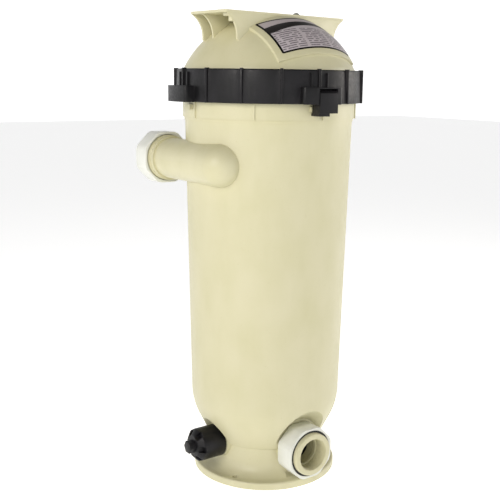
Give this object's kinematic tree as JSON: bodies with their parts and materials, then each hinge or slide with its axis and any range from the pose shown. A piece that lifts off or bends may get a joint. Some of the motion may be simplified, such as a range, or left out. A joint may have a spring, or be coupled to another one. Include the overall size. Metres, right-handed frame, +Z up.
{
  "type": "cartridge filter",
  "caption": "Upright pool and spa cartridge filter: tapered tank on a round foot, domed lid under a screwed lock ring, union ports, drain cap and pleated cartridge inside.",
  "frame": {"origin": "centre of the foot's underside, on the surface that the filter stands on", "axes": "+Z up along the tank; the outlet points along -Y, the drain along -X, and the inlet opens towards +Y"},
  "size_m": [0.352, 0.3546, 0.8079],
  "materials": {
    "tank_plastic": "glass-filled plastic moulded in pale almond, soft gloss",
    "inner_plastic": "white moulded plastic",
    "black_plastic": "black glass-filled plastic, fine matte grain",
    "white_pvc": "white rigid PVC",
    "grey_plastic": "grey moulded plastic",
    "rubber_black": "black EPDM rubber",
    "label_film": "printed film, matte",
    "steel": "stainless steel",
    "end_cap_blue": "blue cast urethane",
    "pleated_media": "white spunbonded polyester, pleated"
  },
  "bodies": {
    "tank": {"tank_body": "tank_plastic", "outlet_collector": "inner_plastic", "hub_o_ring": "rubber_black", "bleed_tube": "inner_plastic", "bleed_strainer": "black_plastic"},
    "outlet_end": {"outlet_union_end": "tank_plastic", "outlet_face_o_ring": "rubber_black"},
    "outlet_nut": {"outlet_union_nut": "white_pvc", "outlet_nut_gasket": "rubber_black"},
    "inlet_end": {"inlet_union_end": "tank_plastic", "inlet_face_o_ring": "rubber_black"},
    "inlet_nut": {"inlet_union_nut": "white_pvc", "inlet_nut_gasket": "rubber_black"},
    "drain_seal": {"drain_gasket": "rubber_black"},
    "drain_plug": {"drain_cap": "black_plastic"},
    "lid_body": {"lid": "tank_plastic", "lid_o_ring": "rubber_black", "lid_label": "label_film"},
    "ring_body": {"lock_ring": "black_plastic", "latch_pin": "steel", "latch_spring": "steel"},
    "latch": {"safety_latch": "black_plastic"},
    "relief_seal": {"relief_o_ring": "rubber_black"},
    "relief": {"relief_stem": "grey_plastic"},
    "cartridge": {"cartridge_bottom_cap": "end_cap_blue", "cartridge_top_cap": "end_cap_blue", "cartridge_media": "pleated_media", "cartridge_core": "inner_plastic", "cartridge_bands": "inner_plastic"}
  },
  "joints": [
    {"name": "lid_lift", "type": "slide", "parent": "tank", "child": "lid_body", "axis": [0, 0, 1], "range_m": [0, 0.62]},
    {"name": "cartridge_lift", "type": "slide", "parent": "tank", "child": "cartridge", "axis": [0, 0, 1], "range_m": [0, 0.59]},
    {"name": "lock_ring_turn", "type": "hinge", "parent": "lid_body", "child": "ring_body", "pos_m": [0, 0, 0.68], "axis": [0, 0, 1], "range_deg": [0, 360]},
    {"name": "latch_release", "type": "hinge", "parent": "ring_body", "child": "latch", "pos_m": [-0.01902, -0.16692, 0.672], "axis": [-0.9936, 0.1132, 0], "range_deg": [0, 9], "stiffness_Nm_per_rad": 0.6},
    {"name": "relief_seal_slide", "type": "slide", "parent": "lid_body", "child": "relief_seal", "axis": [0, 0, 1], "range_m": [0, 0.00375]},
    {"name": "relief_turn", "type": "hinge", "parent": "relief_seal", "child": "relief", "pos_m": [0.06067, 0.00638, 0.796], "axis": [0, 0, 1], "range_deg": [0, 905]},
    {"name": "outlet_end_slide", "type": "slide", "parent": "tank", "child": "outlet_end", "axis": [0, -1, 0], "range_m": [0, 0.0201]},
    {"name": "outlet_nut_turn", "type": "hinge", "parent": "outlet_end", "child": "outlet_nut", "pos_m": [0, -0.11, 0.0615], "axis": [0, -1, 0], "range_deg": [0, 1800]},
    {"name": "inlet_end_slide", "type": "slide", "parent": "tank", "child": "inlet_end", "axis": [0, 1, 0], "range_m": [0, 0.0201]},
    {"name": "inlet_nut_turn", "type": "hinge", "parent": "inlet_end", "child": "inlet_nut", "pos_m": [-0.13, 0.13, 0.557], "axis": [0, 1, 0], "range_deg": [0, 1800]},
    {"name": "drain_seal_slide", "type": "slide", "parent": "tank", "child": "drain_seal", "axis": [-1, 0, 0], "range_m": [0, 0.0281]},
    {"name": "drain_cap_turn", "type": "hinge", "parent": "drain_seal", "child": "drain_plug", "pos_m": [-0.13, 0, 0.063], "axis": [-1, 0, 0], "range_deg": [0, 2520]}
  ],
  "couplings": [
    {"joint": "cartridge_lift", "follows": "lid_lift", "ratio": 0.95},
    {"joint": "relief_turn", "follows": "relief_seal_slide", "rad_per_m": 4188.8},
    {"joint": "outlet_end_slide", "follows": "outlet_nut_turn", "m_per_rad": 0.00063662},
    {"joint": "inlet_end_slide", "follows": "inlet_nut_turn", "m_per_rad": 0.00063662},
    {"joint": "drain_seal_slide", "follows": "drain_cap_turn", "m_per_rad": 0.00063662}
  ]
}
